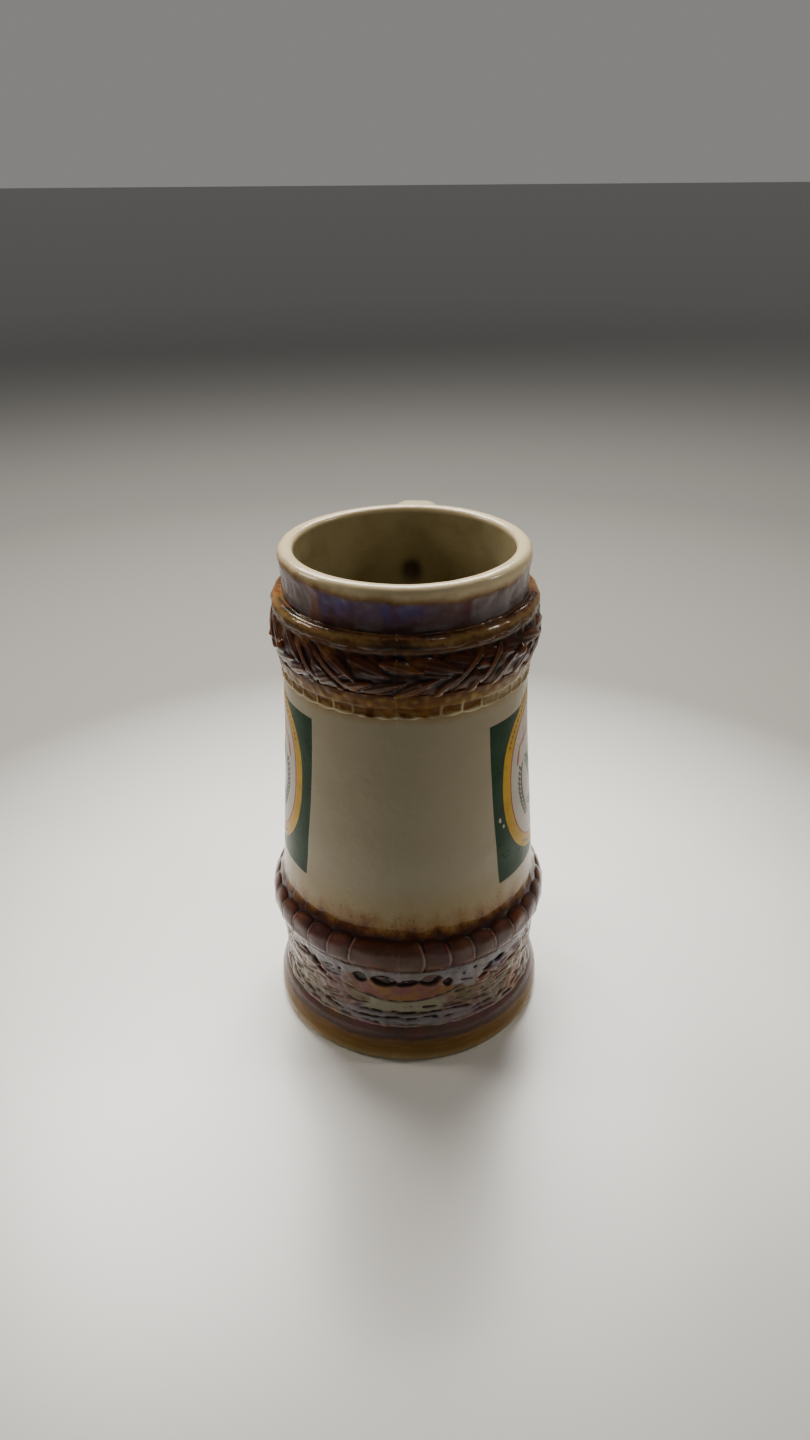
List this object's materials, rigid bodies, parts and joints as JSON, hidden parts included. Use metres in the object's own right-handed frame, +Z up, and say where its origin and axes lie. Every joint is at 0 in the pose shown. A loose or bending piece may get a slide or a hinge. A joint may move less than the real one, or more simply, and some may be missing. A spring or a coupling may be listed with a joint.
{
  "type": "beer stein",
  "caption": "Lidless glazed ceramic beer stein: a hollow cup with relief bands, a rolled foot, a loop handle and green side labels.",
  "frame": {"origin": "centre of the flat base", "axes": "+Z up along the cup's axis, +Y towards the handle, -Y the front seam, +X and -X the labels"},
  "size_m": [0.0916, 0.1309, 0.165],
  "materials": {
    "cream_glaze": "gloss cream glaze, with brown glaze pooled on the neck, shoulder and foot",
    "handle_glaze": "gloss cream glaze shaded with brown",
    "dark_brown_glaze": "very dark gloss brown glaze, amber on the high points",
    "honey_glaze": "gloss honey-brown glaze with cream edges",
    "red_brown_lustre": "gloss red-brown glaze with a lavender-grey lustre",
    "lustre_glaze": "gloss brown and lavender-grey glaze, dark in the hollows",
    "label_transfer": "fired transfer: dark green ground with an ochre and white oval"
  },
  "bodies": {
    "root": {"body": "cream_glaze", "handle": "handle_glaze", "wreath_band": "dark_brown_glaze", "dentil_band": "honey_glaze", "gadroon_band": "red_brown_lustre", "frieze_band": "lustre_glaze", "left_label": "label_transfer", "right_label": "label_transfer"}
  },
  "joints": []
}
